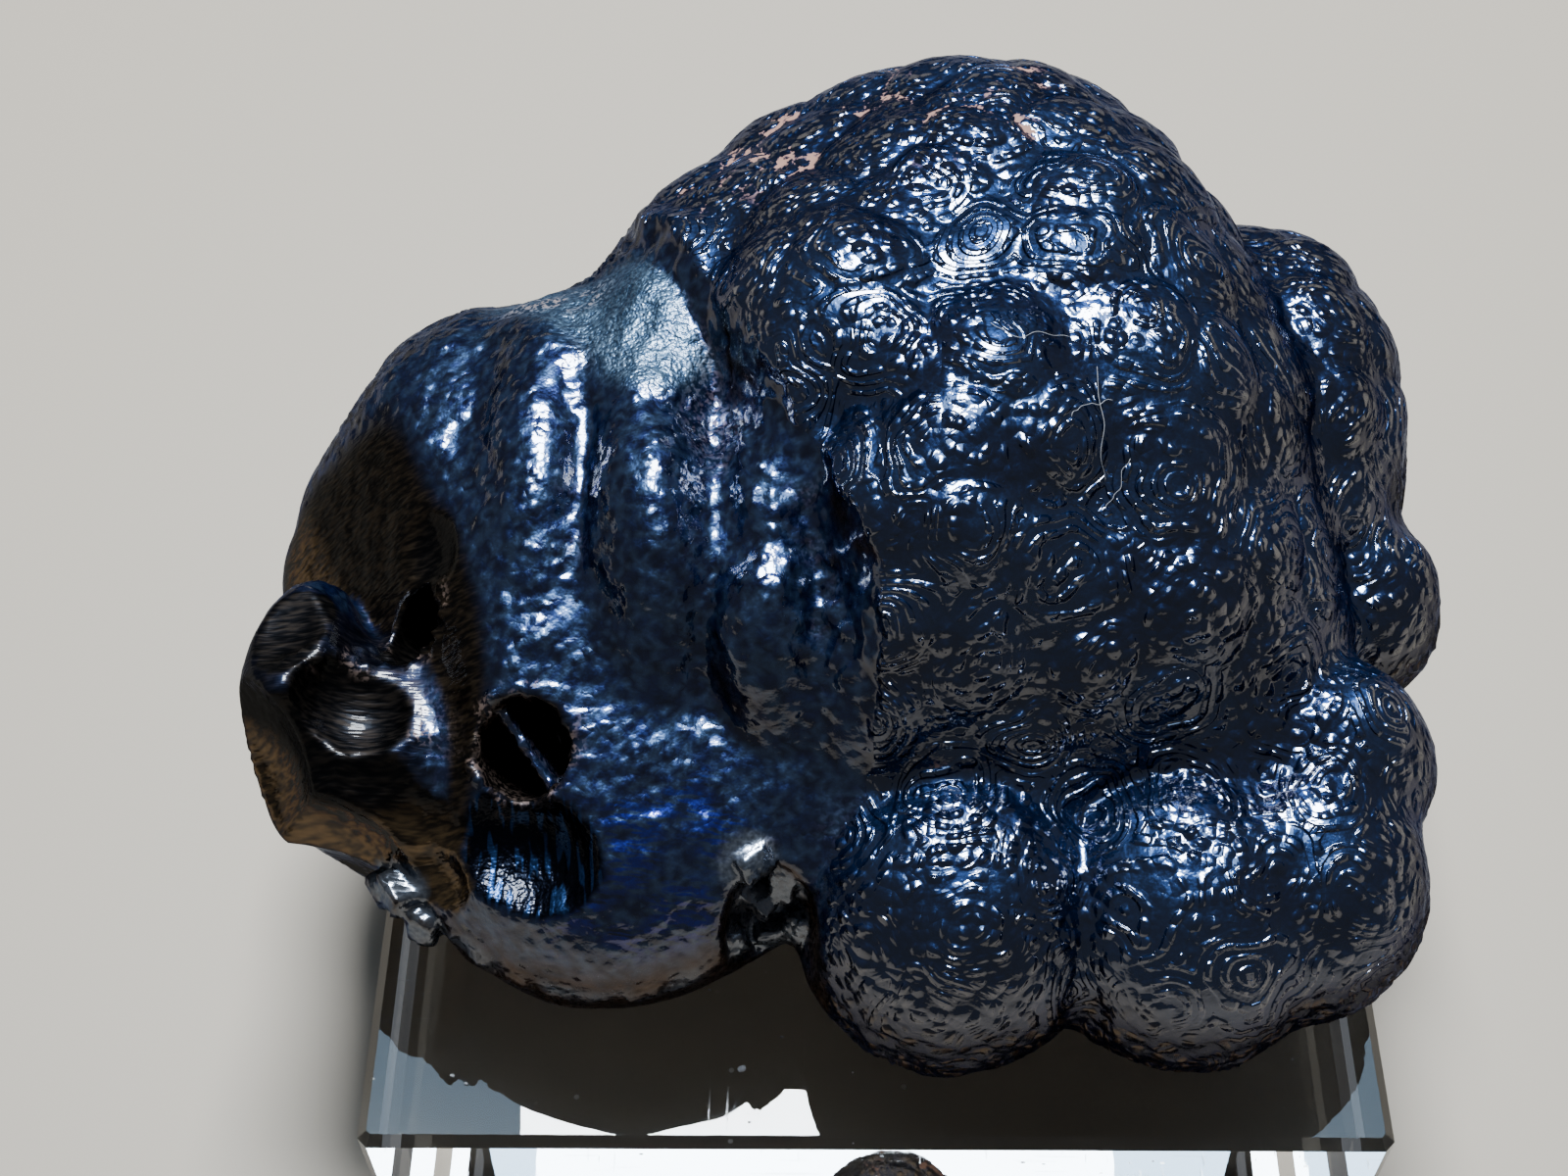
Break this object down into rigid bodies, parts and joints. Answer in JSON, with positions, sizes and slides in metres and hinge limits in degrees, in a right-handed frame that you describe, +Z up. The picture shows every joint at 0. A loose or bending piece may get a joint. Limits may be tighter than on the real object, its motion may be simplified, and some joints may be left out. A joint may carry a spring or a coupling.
{
  "type": "goethite specimen on display block",
  "caption": "Black botryoidal goethite, glossy kidney-shaped lobes with a broken inner layer and tube holes, resting on a clear square acrylic display block.",
  "frame": {"origin": "on the block's underside plane, below the middle of the whole outline", "axes": "+Z up from the block's underside to the stone, +X to the right along the block's front edge and the stone's longest way, +Y from the block's front edge to its back"},
  "size_m": [0.1192, 0.1124, 0.0824],
  "materials": {
    "goethite": "gloss",
    "clear_acrylic": "polished"
  },
  "bodies": {
    "root": {"goethite": "goethite", "acrylic_block": "clear_acrylic"}
  },
  "joints": []
}
